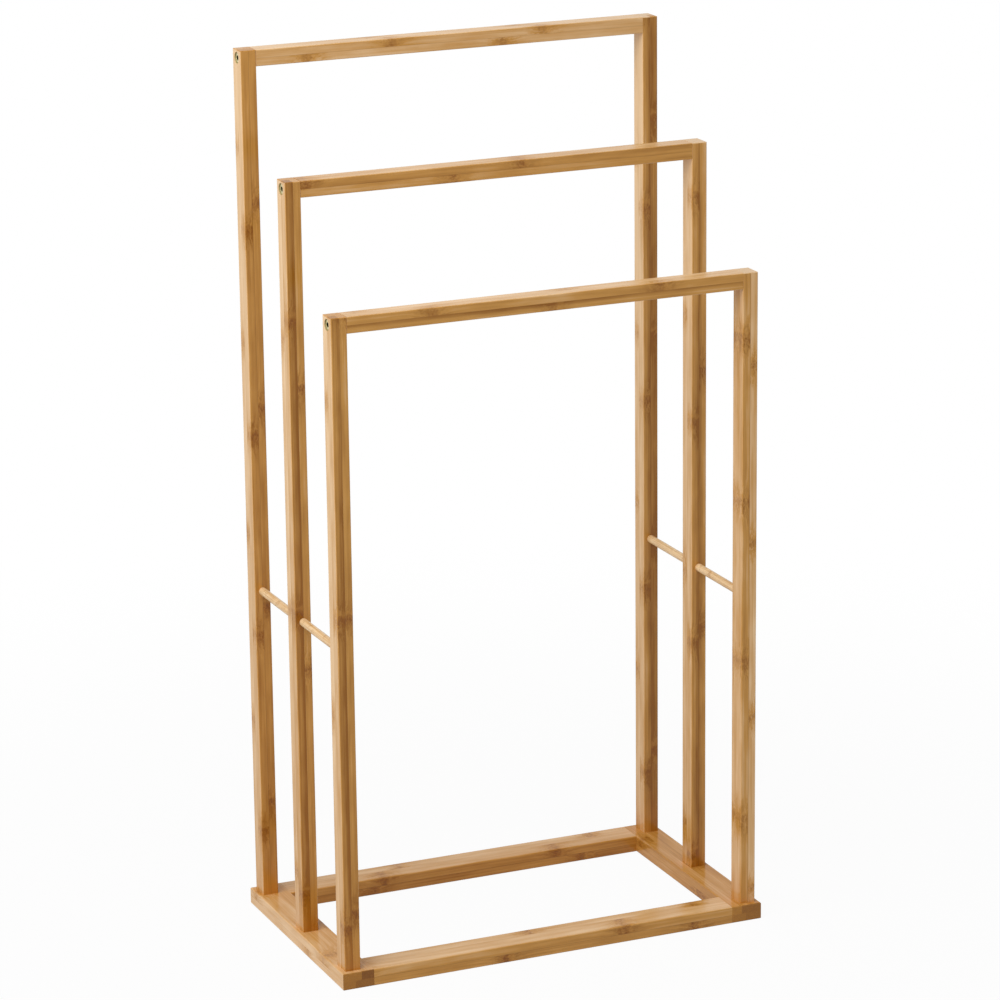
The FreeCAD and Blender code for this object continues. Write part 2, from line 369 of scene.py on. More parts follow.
class BambooGrain:
    """The grain that all laminated sticks share, as one node group.

    Split bamboo is straight rows of dark fibre bundles in paler pith, crossed every hand's
    breadth or two by a knuckle. The eye sees fine parallel lines, slow changes from honey to
    brown, and at each knuckle a fuzzy band of amber and dark flecks.
    """

    FLOATS = (
        "Tone", "Knuckle", "Skin", "Joint", "Paler", "End", "Sawn", "Bored", "Warmth", "Lines", "Scars",
    )

    def __init__(
        self, colours: BambooColours, scale: BambooScale, scar: KnuckleScar, shares: BambooShares
    ) -> None:
        """Builds the group.

        Args:
            colours: The bamboo's colours.
            scale: The sizes of its pattern.
            scar: The make-up of its knuckles.
            shares: The weights of its pattern.
        """
        self.colours, self.scale, self.scar, self.shares = colours, scale, scar, shares
        self.tree = bpy.data.node_groups.new("bamboo grain", "ShaderNodeTree")
        self.add: Adder = partial(add_node, self.tree)
        for name, side, kind in (
            ("Place", "INPUT", "Vector"),
            *((name, "INPUT", "Float") for name in self.FLOATS),
            ("Colour", "OUTPUT", "Color"),
            ("Roughness", "OUTPUT", "Float"),
            ("Relief", "OUTPUT", "Float"),
        ):
            self.tree.interface.new_socket(name, in_out=side, socket_type=f"NodeSocket{kind}")
        self.build()

    def build(self) -> None:
        """Lays out the grain: fibres, streaks, knuckles, glue lines and sawn ends."""
        add, shares, colours = self.add, self.shares, self.colours
        given = add("NodeGroupInput").outputs
        scar = self.knuckle_scar(given)
        lines = self.lines(given, scar["near"])

        # Amber, flecks and fibres are plain on the honey faces and faint on the paler ones.
        plain = add(
            MATH, {0: given["Paler"], 1: -shares.fading, 2: 1.0}, "MULTIPLY_ADD", use_clamp=True
        )
        fading = add(MATH, {0: plain, 1: 0.5, 2: 0.5}, "MULTIPLY_ADD")
        both = {0: lines["fibre"], 1: shares.fibre, 2: lines["streak"]}
        relief = add(MATH, both, "MULTIPLY_ADD")

        # Tone: 0 is the palest strip and 1 the brownest. The fibres' share of it differs from
        # stick to stick, and a knuckle draws a dark tail along its fibres.
        fine = add(MATH, {0: relief, 1: shares.middle}, "SUBTRACT")
        for factor in (given["Lines"], fading):
            fine = add(MATH, {0: fine, 1: factor}, "MULTIPLY")
        tail = add(MATH, {0: scar["near"], 1: lines["streak"]}, "MULTIPLY")
        tone = given["Tone"]
        for source, middle, weight in (
            (fine, 0.0, shares.fine),
            (lines["drift"], 0.5, shares.drift),
            (lines["blotch"], 0.5, shares.blotch),
            (given["Skin"], 0.0, shares.skin),
            (tail, 0.0, shares.tail),
            # The paler faces: partly their own colour, partly painted light on the lit tops and sides.
            (given["Paler"], 0.0, -1.0),
        ):
            if middle:
                source = add(MATH, {0: source, 1: middle}, "SUBTRACT")
            tone = add(MATH, {0: source, 1: weight, 2: tone}, "MULTIPLY_ADD")
        tones = toned((0.0, colours.pale), (0.5, colours.honey), (1.0, colours.brown))
        colour = add(RAMP, {"Fac": tone}, stops=tones).outputs["Color"]

        for factors, strength, tint in (
            # Amber: the stick's own warmth, and on posts the painted warm glow at the foot.
            ((given["Warmth"], plain), 1.0, to_linear(colours.amber)),
            ((scar["ridge"],), shares.ridge, to_linear(colours.ridge)),
            ((scar["soft"], given["Scars"], fading), shares.halo, to_linear(colours.halo)),
            ((scar["flecks"], plain, given["Scars"]), shares.fleck, to_linear(colours.knuckle)),
            ((given["Joint"],), 1.0, to_linear(colours.glue)),
            ((given["End"],), 1.0, self.sawn_end(given)),
            # Painted shade on the walls of the screw holes.
            ((given["Bored"],), 1.0, to_linear(colours.hole_shade)),
        ):
            amount = factors[0]
            for factor in (*factors[1:], strength):
                amount = add(MATH, {0: amount, 1: factor}, "MULTIPLY")
            colour = add(MIX, {"Factor": amount, 6: colour, 7: tint}, data_type="RGBA").outputs[2]

        low, high = shares.sheen
        rough = add(RANGE, {"Value": lines["streak"], "To Min": low, "To Max": high})
        pitted = add(MATH, {0: scar["flecks"], 1: -shares.pits, 2: relief}, "MULTIPLY_ADD")
        add("NodeGroupOutput", {"Colour": colour, "Roughness": rough, "Relief": pitted})

    def lines(self, given: bpy.types.NodeOutputs, near: bpy.types.Node) -> dict[str, bpy.types.Node]:
        """Draws the lines along the fibres, straight between knuckles and swirling round them.

        Args:
            given: The group's inputs.
            near: The mask of the knuckles' surroundings.

        Returns:
            The "fibre", "streak", "drift" and "blotch" noises.
        """
        add, scale = self.add, self.scale
        swirl = add(NOISE, {"Vector": given["Place"], "Scale": 1 / scale.swirl, "Detail": 1.0})
        pushed = add(VECTORS, {0: swirl.outputs["Color"], "Scale": near}, "SCALE")
        bend = (scale.push, scale.push, 0.0)
        bent = add(VECTORS, {0: pushed, 1: bend, 2: given["Place"]}, "MULTIPLY_ADD")
        lines = {}
        for name in ("fibre", "streak", "drift", "blotch"):
            across, along, detail = getattr(scale, name)
            stretch = (1 / across, 1 / across, 1 / along)
            stretched = add(VECTORS, {0: bent, 1: stretch}, "MULTIPLY")
            lines[name] = add(NOISE, {"Vector": stretched, "Scale": 1.0, "Detail": detail})
        return lines

    def sawn_end(self, given: bpy.types.NodeOutputs) -> bpy.types.Node:
        """Colours a sawn end, which shows its fibre bundles as dark dots.

        Args:
            given: The group's inputs.

        Returns:
            The ramp of the end's colour.
        """
        add, colours = self.add, self.colours
        # The dots hardly change along the fibres, so that each is round on the end.
        flat = add(VECTORS, {0: given["Place"], 1: (1.0, 1.0, 0.02)}, "MULTIPLY")
        dots = add("ShaderNodeTexVoronoi", {"Vector": flat, "Scale": 1 / self.scale.bundle})
        own_tone = add(MATH, {0: given["Tone"], 1: 0.5}, "SUBTRACT")
        tone = given["Sawn"]
        for source, weight in ((dots, -self.shares.dots), (own_tone, self.shares.end_contrast)):
            tone = add(MATH, {0: source, 1: weight, 2: tone}, "MULTIPLY_ADD")
        tones = toned((0.0, colours.end_pale), (0.3, colours.end_honey), (1.0, colours.end_dark))
        return add(RAMP, {"Fac": tone}, stops=tones)

    def knuckle_scar(self, given: bpy.types.NodeOutputs) -> dict[str, bpy.types.Node]:
        """Marks each strip's knuckles: a fuzzy band of flecks with a finer dark line in it.

        Args:
            given: The group's inputs.

        Returns:
            The "near" mask that bends the fibres, the "soft" warm patch of the knuckle, the
            pale "ridge" beside it, and the "flecks" that darken it.
        """
        add, scar = self.add, self.scar
        wobble = add(NOISE, {"Vector": given["Place"], "Scale": 1 / scar.wobble, "Detail": 1.0})
        shift = add(RANGE, {"Value": wobble, "To Min": -scar.sway, "To Max": scar.sway})
        off = add(MATH, {0: given["Knuckle"], 1: shift}, "ADD")
        masks = {}
        for name, half, past in (
            ("near", scar.half * scar.reach, 0.0),
            ("band", scar.half, 0.0),
            ("line", scar.line, 0.0),
            ("ridge", scar.half * scar.ridge, scar.half * scar.ridge_past),
        ):
            part = add(MATH, {0: off, 1: 1 / half, 2: -past / half}, "MULTIPLY_ADD")
            square = add(MATH, {0: part, 1: part}, "MULTIPLY")
            minus = add(MATH, {0: square, 1: -1.0}, "MULTIPLY")
            masks[name] = add(MATH, {0: minus}, "EXPONENT")
        fine = (1 / scar.fleck, 1 / scar.fleck, scar.fleck_run / scar.fleck)
        fleck_place = add(VECTORS, {0: given["Place"], 1: fine}, "MULTIPLY")
        fleck = add(NOISE, {"Vector": fleck_place, "Scale": 1.0, "Detail": 2.0})
        spots = add(
            RANGE,
            {"Value": fleck, "From Min": scar.sparse, "From Max": scar.dense, "To Min": scar.haze},
        )
        band = add(MATH, {0: masks["band"], 1: spots}, "MULTIPLY")
        flecks = add(
            MATH, {0: masks["line"], 1: scar.line_share, 2: band}, "MULTIPLY_ADD", use_clamp=True
        )
        more, least = scar.soft
        soft = add(MATH, {0: spots, 1: more, 2: least}, "MULTIPLY_ADD")
        soft = add(MATH, {0: soft, 1: masks["band"]}, "MULTIPLY")
        return {"near": masks["near"], "ridge": masks["ridge"], "soft": soft, "flecks": flecks}


@dataclass(frozen=True)
class Lacquer:
    """Clear lacquer brushed thin over bamboo: a glassy sheen that follows its low relief."""

    weight: float = 0.58
    roughness: float = 0.2
    ior: float = 1.5
    relief: float = 0.35
    relief_depth: float = 0.00006

    def cover(self, add: Adder, colour: Source, rough: Source, height: Source) -> None:
        """Lays the lacquer over the bamboo and ends the material.

        Args:
            add: Adds a node to the material.
            colour: What gives the bamboo's colour.
            rough: What gives its own roughness.
            height: What gives its relief.
        """
        bump = add(
            "ShaderNodeBump", {"Height": height, "Strength": self.relief, "Distance": self.relief_depth}
        )
        shader = add(
            "ShaderNodeBsdfPrincipled",
            {
                "Base Color": colour,
                "Roughness": rough,
                "Normal": bump,
                "Specular IOR Level": 0.0,
                "Coat Weight": self.weight,
                "Coat Roughness": self.roughness,
                "Coat IOR": self.ior,
            },
        )
        add("ShaderNodeOutputMaterial", {"Surface": shader})


@dataclass(frozen=True)
class LaminatedBamboo:
    """Laminated bamboo under clear lacquer: warm honey strips with a soft, glassy sheen.

    The lacquer fills the pores, so what shines is the lacquer: it mirrors the white studio
    at low angles, which pales the tops and the outer sides, and shows the posts as amber
    patches where they stand on it. Painted light makes the tops and outer sides lighter
    still, makes each post lighter towards its top, and warms its foot. Lengths are in
    millimetres.
    """

    lacquer: Lacquer = Lacquer()
    # Painted light down each post: a warm glow at its foot for light thrown up from the base, and a
    # paleness that grows towards its top, where more light falls.
    painted_foot_glow: tuple[Pair, ...] = ((520.0, 0.13), (45.0, 0.27))  # how far up, and how much
    lit_paleness_range: Pair = (0.85, 1.15)  # how much of its paleness a post has at foot and top
    lit_rise: Pair = (-0.045, 0.05)  # what comes on top of that there
    bore_radius: float = 5.8
    bore_drop: float = 7.5  # from a post's top to the middle of its screw hole
    bore_depth: Pair = (0.35, 0.05)  # where the painted shade on the hole's wall is full and where it starts
    side_facing: Pair = (0.35, 0.97)  # how squarely a paler face looks out, at least and in full
    end_facing: Pair = (0.3, 0.7)  # the same for a sawn end
    joint_share: float = 0.35  # how dark a joint is beside a glue line
    glue_edge: Pair = (0.4, 1.6)  # where a glue line fades and ends, in halves of it
    strip_step: Triple = (311.0, 977.0, 1733.0)
    seed_step: Triple = (61.0, 37.0, 173.0)

    def dress(self, stick: Stick, grain: BambooGrain, part: bpy.types.Object) -> None:
        """Gives a stick its own material.

        Args:
            stick: The stick's layers and grain direction.
            grain: The shared grain.
            part: The stick's object in the frame.
        """
        low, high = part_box(stick.node)
        size = Matrix(stick.grain.value) @ (high - low)
        thick, wide, long = (abs(v) / MM for v in size)

        material, add = blank_material(f"laminated bamboo, {stick.node.replace('_', ' ')}")
        seen = add("ShaderNodeTexCoord").outputs
        own = add(
            "ShaderNodeMapping",
            {
                "Vector": seen["Object"],
                "Location": (low + high) / 2,
                "Rotation": stick.grain.turn().to_euler(),
                "Scale": (MM, MM, MM),
            },
            vector_type="TEXTURE",
        )
        axes = add("ShaderNodeSeparateXYZ", {0: own}).outputs
        across = add(MATH, {0: axes["Y"], 1: 1 / wide, 2: 0.5}, "MULTIPLY_ADD")
        along = add(MATH, {0: axes["Z"], 1: long / 2}, "ADD")
        depth = add(MATH, {0: axes["X"]}, "ABSOLUTE")
        upper = add(MATH, {0: axes["X"], 1: 0.0}, "GREATER_THAN")

        facts, joints, skins = [], [], []
        for layer in (stick.lower, stick.upper):
            strips = add(RAMP, {"Fac": across}, stops=layer.fact_stops(wide))
            strips.color_ramp.interpolation = "CONSTANT"
            facts.append(strips)
            joints.append(add(RAMP, {"Fac": across}, stops=layer.joint_stops(wide)))
            full, gone = layer.skin.value
            fade = {"Value": depth, "From Min": full, "From Max": gone, "To Min": 1.0, "To Max": 0.0}
            skins.append(add(RANGE, fade, interpolation_type="SMOOTHSTEP"))
        either = {"Factor": upper, 6: facts[0], 7: facts[1]}
        fact = add(MIX, either, data_type="RGBA").outputs[2]
        joint, skin = (
            add(MIX, {"Factor": upper, 2: lower, 3: higher}) for lower, higher in (joints, skins)
        )
        told = add("ShaderNodeSeparateColor", {0: fact}).outputs

        # The knuckle's distance: how far along, past the nearest of the strip's knuckles.
        phase = add(MATH, {0: told["Green"], 1: -1 / MM, 2: along}, "MULTIPLY_ADD")
        half, minus = (
            add(MATH, {0: told["Blue"], 1: share / MM}, "MULTIPLY") for share in (0.5, -0.5)
        )
        knuckle = add(MATH, {0: phase, 1: half, 2: minus}, "WRAP")

        # The main glue line, and the fainter joints between strips of one layer.
        edge, gone = (grain.scale.glue * share for share in self.glue_edge)
        fade = {"Value": depth, "From Min": edge, "From Max": gone, "To Min": 1.0, "To Max": 0.0}
        seam = add(
            MATH, {0: joint, 1: self.joint_share, 2: add(RANGE, fade)}, "MULTIPLY_ADD", use_clamp=True
        )
        seam = add(MATH, {0: seam, 1: stick.seam}, "MULTIPLY")

        # Strips and sticks differ, so each reads its own stretch of the pattern.
        spread = add(VECTORS, {0: fact, 1: self.strip_step, 2: own}, "MULTIPLY_ADD")
        moved = tuple(stick.seed * step for step in self.seed_step)
        place = add(VECTORS, {0: spread, 1: moved}, "ADD")

        # Faces through and across the layers are paler by their own amounts, partly as the broad faces'
        # own colour and partly as painted light on the lit tops and sides; ends are sawn.
        facing = []
        for axis, (start, full), amount in (
            (0, self.side_facing, stick.pale_and_lit[0]),
            (1, self.side_facing, stick.pale_and_lit[1]),
            (2, self.end_facing, 1.0),
        ):
            way = {0: seen["Normal"], 1: stick.grain.value[axis]}
            lean = add(VECTORS, way, "DOT_PRODUCT").outputs["Value"]
            square_on = add(MATH, {0: lean}, "ABSOLUTE")
            share = {"Value": square_on, "From Min": start, "From Max": full, "To Max": amount}
            facing.append(add(RANGE, share))
        pale_and_lit = add(MATH, {0: facing[0], 1: facing[1]}, "ADD")
        warmth, hole_shade = stick.warmth, 0.0
        if stick.grain is Grain.UPRIGHT:
            pale_and_lit, warmth = self.up_the_post(stick, add, along, long, pale_and_lit)
            # The wall of the post's screw hole takes painted shade.
            hole_shade = self.shaded_hole_wall(add, own, thick, long)
        bamboo = add(
            "ShaderNodeGroup",
            {
                "Place": place,
                "Tone": told["Red"],
                "Knuckle": knuckle,
                "Skin": skin,
                "Joint": seam,
                "Paler": pale_and_lit,
                "End": facing[2],
                "Sawn": stick.sawn,
                "Bored": hole_shade,
                "Warmth": warmth,
                "Lines": stick.lines,
                "Scars": stick.scars,
            },
            node_tree=grain.tree,
        ).outputs
        self.lacquer.cover(add, bamboo["Colour"], bamboo["Roughness"], bamboo["Relief"])
        paint(part, material)

    def up_the_post(
        self, stick: Stick, add: Adder, along: bpy.types.Node, long: float, pale_and_lit: bpy.types.Node
    ) -> tuple[bpy.types.Node, bpy.types.Node]:
        """Paints light on a post: lighter towards its top, where more light falls, and warmer towards
        its foot, most of all at the end, as warm light thrown up from the base.

        Args:
            stick: The post.
            add: Adds a node to the material.
            along: How far up the post the point lies.
            long: The post's length in millimetres.
            pale_and_lit: How much lighter its face is, partly its own colour and partly painted light.

        Returns:
            How much lighter and how much warmer the point is, with the painted light added.
        """
        lit_climb = tuple(amount * stick.lit_climb for amount in self.lit_rise)
        share, lit_rise = (
            add(RANGE, {"Value": along, "From Max": long, "To Min": foot, "To Max": top})
            for foot, top in (self.lit_paleness_range, lit_climb)
        )
        pale_and_lit = add(MATH, {0: pale_and_lit, 1: share, 2: lit_rise}, "MULTIPLY_ADD")
        warmth: Any = stick.warmth
        # Painted light: a warm glow thrown up from the base, strongest at the foot.
        for reach, amount in self.painted_foot_glow:
            near = add(RANGE, {"Value": along, "From Max": reach, "To Min": amount, "To Max": 0.0})
            warmth = add(MATH, {0: near, 1: warmth}, "ADD")
        return pale_and_lit, warmth

    def shaded_hole_wall(self, add: Adder, own: bpy.types.Node, thick: float, long: float) -> bpy.types.Node:
        """Marks the wall of a post's screw hole, just below its side face, which takes painted shade.

        Args:
            add: Adds a node to the material.
            own: The point in the post's own frame.
            thick: The post's thickness in millimetres.
            long: The post's length in millimetres.

        Returns:
            A mask that is 1 inside the hole.
        """
        centre = (0.0, 0.0, long / 2 - self.bore_drop)
        spot = add(VECTORS, {0: own, 1: centre}, "SUBTRACT")
        parts = add("ShaderNodeSeparateXYZ", {0: spot}).outputs
        flat = add("ShaderNodeCombineXYZ", {0: parts["Y"], 1: parts["Z"]})
        reach = add(VECTORS, {0: flat}, "LENGTH").outputs["Value"]
        near = add(MATH, {0: reach, 1: self.bore_radius}, "LESS_THAN")
        depth = add(MATH, {0: parts["X"]}, "ABSOLUTE")
        deep, shallow = (thick / 2 - below for below in self.bore_depth)
        fade = {"Value": depth, "From Min": deep, "From Max": shallow, "To Min": 1.0, "To Max": 0.0}
        return add(MATH, {0: near, 1: add(RANGE, fade)}, "MULTIPLY")


@dataclass(frozen=True)
class TurnedBamboo:
    """Bamboo turned to a thin rod and lacquered.

    One pale split is all of it, so the eye sees fine straight lines in an even cream, a satin
    sheen, and only faint brown smudges where turning has cut a knuckle away. Lengths are in
    millimetres.
    """

    pale: str = "#F2D0A0"
    line: str = "#D0A268"
    smudge: str = "#B07C42"
    fibre: float = 0.7
    fibre_run: float = 60.0
    cloud: float = 22.0
    patch: float = 7.0
    line_range: Pair = (0.6, 1.0)
    smudge_range: Triple = (0.56, 0.72, 0.55)  # where it starts, where it is full, how plain it is
    sheen: Pair = (0.4, 0.6)
    lacquer: Lacquer = Lacquer(weight=0.6, roughness=0.18, relief=0.3)

    def dress(self, part: bpy.types.Object, along: Vector, seed: float) -> None:
        """Gives a rod its material.

        Args:
            part: The rod's object in the frame.
            along: The way the fibres run.
            seed: Moves the pattern, so that no two rods match.
        """
        material, add = blank_material(f"turned bamboo, {part.name.replace('_', ' ')}")
        seen = add("ShaderNodeTexCoord").outputs
        own = add(
            "ShaderNodeMapping",
            {"Vector": seen["Object"], "Location": (seed, 0.0, seed), "Scale": (MM, MM, MM)},
            vector_type="TEXTURE",
        )
        stretch = [1 / self.fibre if axis == 0 else 1 / self.fibre_run for axis in along]
        fibres = add(VECTORS, {0: own, 1: stretch}, "MULTIPLY")
        lines, clouds, patches = (
            add(NOISE, {"Vector": source, "Scale": 1 / size, "Detail": detail})
            for source, size, detail in (
                (fibres, 1.0, 2.0),
                (own, self.cloud, 2.0),
                (own, self.patch, 3.0),
            )
        )
        both = add(MATH, {0: clouds, 1: 0.5, 2: lines}, "MULTIPLY_ADD")
        ramp = add(RAMP, {"Fac": both}, stops=toned(*zip(self.line_range, (self.pale, self.line))))
        start, full, most = self.smudge_range
        smudge = add(RANGE, {"Value": patches, "From Min": start, "From Max": full, "To Max": most})
        over = {"Factor": smudge, 6: ramp, 7: to_linear(self.smudge)}
        colour = add(MIX, over, data_type="RGBA").outputs[2]
        low, high = self.sheen
        rough = add(RANGE, {"Value": lines, "To Min": low, "To Max": high})
        self.lacquer.cover(add, colour, rough, lines)
        paint(part, material)


@dataclass(frozen=True)
class YellowZincSteel:
    """Screw steel, zinc-plated and passivated yellow.

    The eye sees a pale, faintly greenish gold with soft blotches, brighter and duller in turn.
    The hexagon socket's wall is painted nearly black, as painted shade in its depth.
    """

    bright: str = "#E6DDAE"
    olive: str = "#A79C66"
    # painted shade inside the hexagon socket
    socket: str = "#453C20"
    blotch: float = 1.1
    blotch_range: Pair = (0.4, 0.75)
    sheen: Pair = (0.2, 0.4)
    relief: float = 0.2
    relief_depth: float = 0.00003

    def material(self) -> bpy.types.Material:
        """Makes the finish, one material for every screw.

        Returns:
            The steel.
        """
        material, add = blank_material("yellow zinc-plated steel")
        seen = add("ShaderNodeTexCoord").outputs
        own = add(
            "ShaderNodeMapping",
            {"Vector": seen["Object"], "Scale": (MM, MM, MM)},
            vector_type="TEXTURE",
        )
        blotches = add(NOISE, {"Vector": own, "Scale": 1 / self.blotch, "Detail": 3.0})
        tones = toned(*zip(self.blotch_range, (self.bright, self.olive)))
        ramp = add(RAMP, {"Fac": blotches}, stops=tones)
        # The socket's faces take the painted shade.
        inside = add("ShaderNodeAttribute", attribute_name=SOCKET_ATTRIBUTE).outputs["Fac"]
        over = {"Factor": inside, 6: ramp, 7: to_linear(self.socket)}
        colour = add(MIX, over, data_type="RGBA").outputs[2]
        low, high = self.sheen
        rough = add(RANGE, {"Value": blotches, "To Min": low, "To Max": high})
        bump = add(
            "ShaderNodeBump",
            {"Height": blotches, "Strength": self.relief, "Distance": self.relief_depth},
        )
        shader = add(
            "ShaderNodeBsdfPrincipled",
            {"Base Color": colour, "Metallic": 1.0, "Roughness": rough, "Normal": bump},
        )
        add("ShaderNodeOutputMaterial", {"Surface": shader})
        return material


@dataclass(frozen=True)
class StickWork:
    """A sub-assembly of laminated sticks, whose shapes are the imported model's own."""

    sticks: tuple[Stick, ...]

    def dress(self, frame: dict[str, Any], finish: LaminatedBamboo, grain: BambooGrain) -> None:
        """Dresses its sticks.

        Args:
            frame: The loaded frame.
            finish: The sticks' finish.
            grain: The shared grain.
        """
        for stick in self.sticks:
            finish.dress(stick, grain, frame["nodes"][stick.node])
            LOG.info("dressed %s", stick.node)


@dataclass(frozen=True)
class BaseFrame(StickWork):
    """The low frame: two runners front to back, and two rails tenoned between them."""

    sticks: tuple[Stick, ...] = (
        Stick(
            "left_runner", Grain.FRONT_TO_BACK,
            Layer((Strip(12, 0.32, 90, 190), Strip(18, 0.38, 30, 205))),
            Layer((Strip(18, 0.31, 50, 175), Strip(12, 0.43, 130, 190))),
            seed=1.0, warmth=0.05, lines=0.9, pale_and_lit=(0.0, 0.16), seam=0.12, sawn=1.17, scars=0.45,
        ),
        Stick(
            "right_runner", Grain.FRONT_TO_BACK,
            Layer((Strip(14, 0.50, 72, 190), Strip(16, 0.54, 140, 205))),
            Layer((Strip(10, 0.46, 200, 230), Strip(20, 0.56, 118, 240))),
            seed=2.0, warmth=0.14, lines=1.4, pale_and_lit=(0.0, -0.06), seam=0.12, sawn=0.71, scars=0.7,
        ),
        Stick(
            "front_rail", Grain.SIDE_TO_SIDE,
            Layer((Strip(14, 0.52, 90, 170), Strip(16, 0.58, 140, 190))),
            Layer((Strip(12, 0.52, 172, 168), Strip(18, 0.50, 260, 262))),
            seed=3.0, lines=0.8, pale_and_lit=(0.25, 0.0), scars=1.15,
        ),
        Stick(
            "rear_rail", Grain.SIDE_TO_SIDE,
            Layer((Strip(14, 0.56, 90, 170), Strip(16, 0.69, 95, 215))),
            Layer((Strip(14, 0.48, 128, 202), Strip(16, 0.59, 105, 180))),
            seed=4.0, warmth=0.18, pale_and_lit=(0.28, -0.06),
        ),
    )


@dataclass(frozen=True)
class FrontHoop(StickWork):
    """The lowest towel hoop: a post each side and the crossbar between them."""

    sticks: tuple[Stick, ...] = (
        Stick(
            "front_left_post", Grain.UPRIGHT,
            Layer((Strip(10, 0.72, 40, 290), Strip(10, 0.60, 239, 288)), Skin.GLUE_LINE),
            Layer((Strip(10, 0.60, 54, 277), Strip(10, 0.60, 150, 260))),
            seed=5.0, warmth=-0.05,
        ),
        Stick(
            "front_right_post", Grain.UPRIGHT,
            Layer((Strip(20, 0.48, 84, 153),)),
            Layer((Strip(10, 0.24, 14, 168), Strip(10, 0.33, 90, 170))),
            seed=6.0, warmth=-0.1, lines=1.3, pale_and_lit=(0.17, 0.0), scars=0.5, lit_climb=-0.5,
        ),
        Stick(
            "front_crossbar", Grain.SIDE_TO_SIDE,
            Layer((Strip(10, 0.45, 60, 190), Strip(10, 0.54, 195, 230)), Skin.GLUE_LINE),
            Layer((Strip(10, 0.44, 12, 200), Strip(10, 0.52, 80, 220))),
            seed=7.0, lines=0.7, pale_and_lit=(0.31, 0.0), seam=0.25, scars=0.48,
        ),
    )


@dataclass(frozen=True)
class MiddleHoop(StickWork):
    """The middle towel hoop, built as the front one is."""

    sticks: tuple[Stick, ...] = (
        Stick(
            "middle_left_post", Grain.UPRIGHT,
            Layer((Strip(10, 0.78, 36, 271), Strip(10, 0.60, 308, 252)), Skin.GLUE_LINE),
            Layer((Strip(10, 0.58, 254, 262), Strip(10, 0.60, 100, 250))),
            seed=8.0,
        ),
        Stick(
            "middle_right_post", Grain.UPRIGHT,
            Layer((Strip(10, 0.56, 226, 214), Strip(10, 0.57, 42, 250)), Skin.GLUE_LINE),
            Layer((Strip(10, 0.53, 240, 250), Strip(10, 0.50, 130, 250)), Skin.GLUE_LINE),
            seed=9.0, warmth=-0.14, pale_and_lit=(0.34, 0.0), sawn=-0.35, scars=0.65, lit_climb=2.0,
        ),
        Stick(
            "middle_crossbar", Grain.SIDE_TO_SIDE,
            Layer((Strip(10, 0.50, 60, 190), Strip(10, 0.49, 145, 262))),
            Layer((Strip(20, 0.62, 5, 207),)),
            seed=10.0, lines=0.7, pale_and_lit=(0.35, 0.0), seam=0.3, scars=0.75,
        ),
    )


@dataclass(frozen=True)
class RearHoop(StickWork):
    """The tallest towel hoop, built as the front one is."""

    sticks: tuple[Stick, ...] = (
        Stick(
            "rear_left_post", Grain.UPRIGHT,
            Layer((Strip(10, 0.66, 64, 192), Strip(10, 0.58, 171, 181))),
            Layer((Strip(10, 0.66, 92, 191), Strip(10, 0.60, 60, 190))),
            seed=11.0, warmth=0.06,
        ),
        Stick(
            "rear_right_post", Grain.UPRIGHT,
            Layer((Strip(10, 0.58, 249, 187), Strip(10, 0.55, 164, 168)), Skin.GLUE_LINE),
            Layer((Strip(10, 0.86, 84, 208), Strip(10, 0.60, 60, 190))),
            seed=12.0, warmth=-0.08, sawn=-0.45, scars=0.75,
        ),
        Stick(
            "rear_crossbar", Grain.SIDE_TO_SIDE,
            Layer((Strip(10, 0.33, 60, 190), Strip(10, 0.32, 50, 190))),
            Layer((Strip(10, 0.36, 113, 145), Strip(10, 0.33, 130, 150))),
            seed=13.0, lines=0.7, pale_and_lit=(0.24, 0.0), seam=0.25, scars=0.46,
        ),
    )


@dataclass(frozen=True)
class TieRods:
    """The four thin rods that join the posts of each side."""

    nodes: tuple[str, ...] = (
        "left_front_spindle",
        "left_rear_spindle",
        "right_front_spindle",
        "right_rear_spindle",
    )
    seed_step: float = 0.031

    def dress(self, frame: dict[str, Any], finish: TurnedBamboo) -> None:
        """Dresses the rods.

        Args:
            frame: The loaded frame.
            finish: The rods' finish.
        """
        for number, name in enumerate(self.nodes, start=1):
            finish.dress(frame["nodes"][name], Vector((0, 1, 0)), self.seed_step * number)
            LOG.info("dressed %s", name)


@dataclass(frozen=True)
class ScrewRow:
    """A row of equal screws: the node it stands for, and where its heads lie and point."""

    name: str
    node: str
    first: Triple
    step: Triple
    count: int
    facing: Triple
    mirrored: bool = False


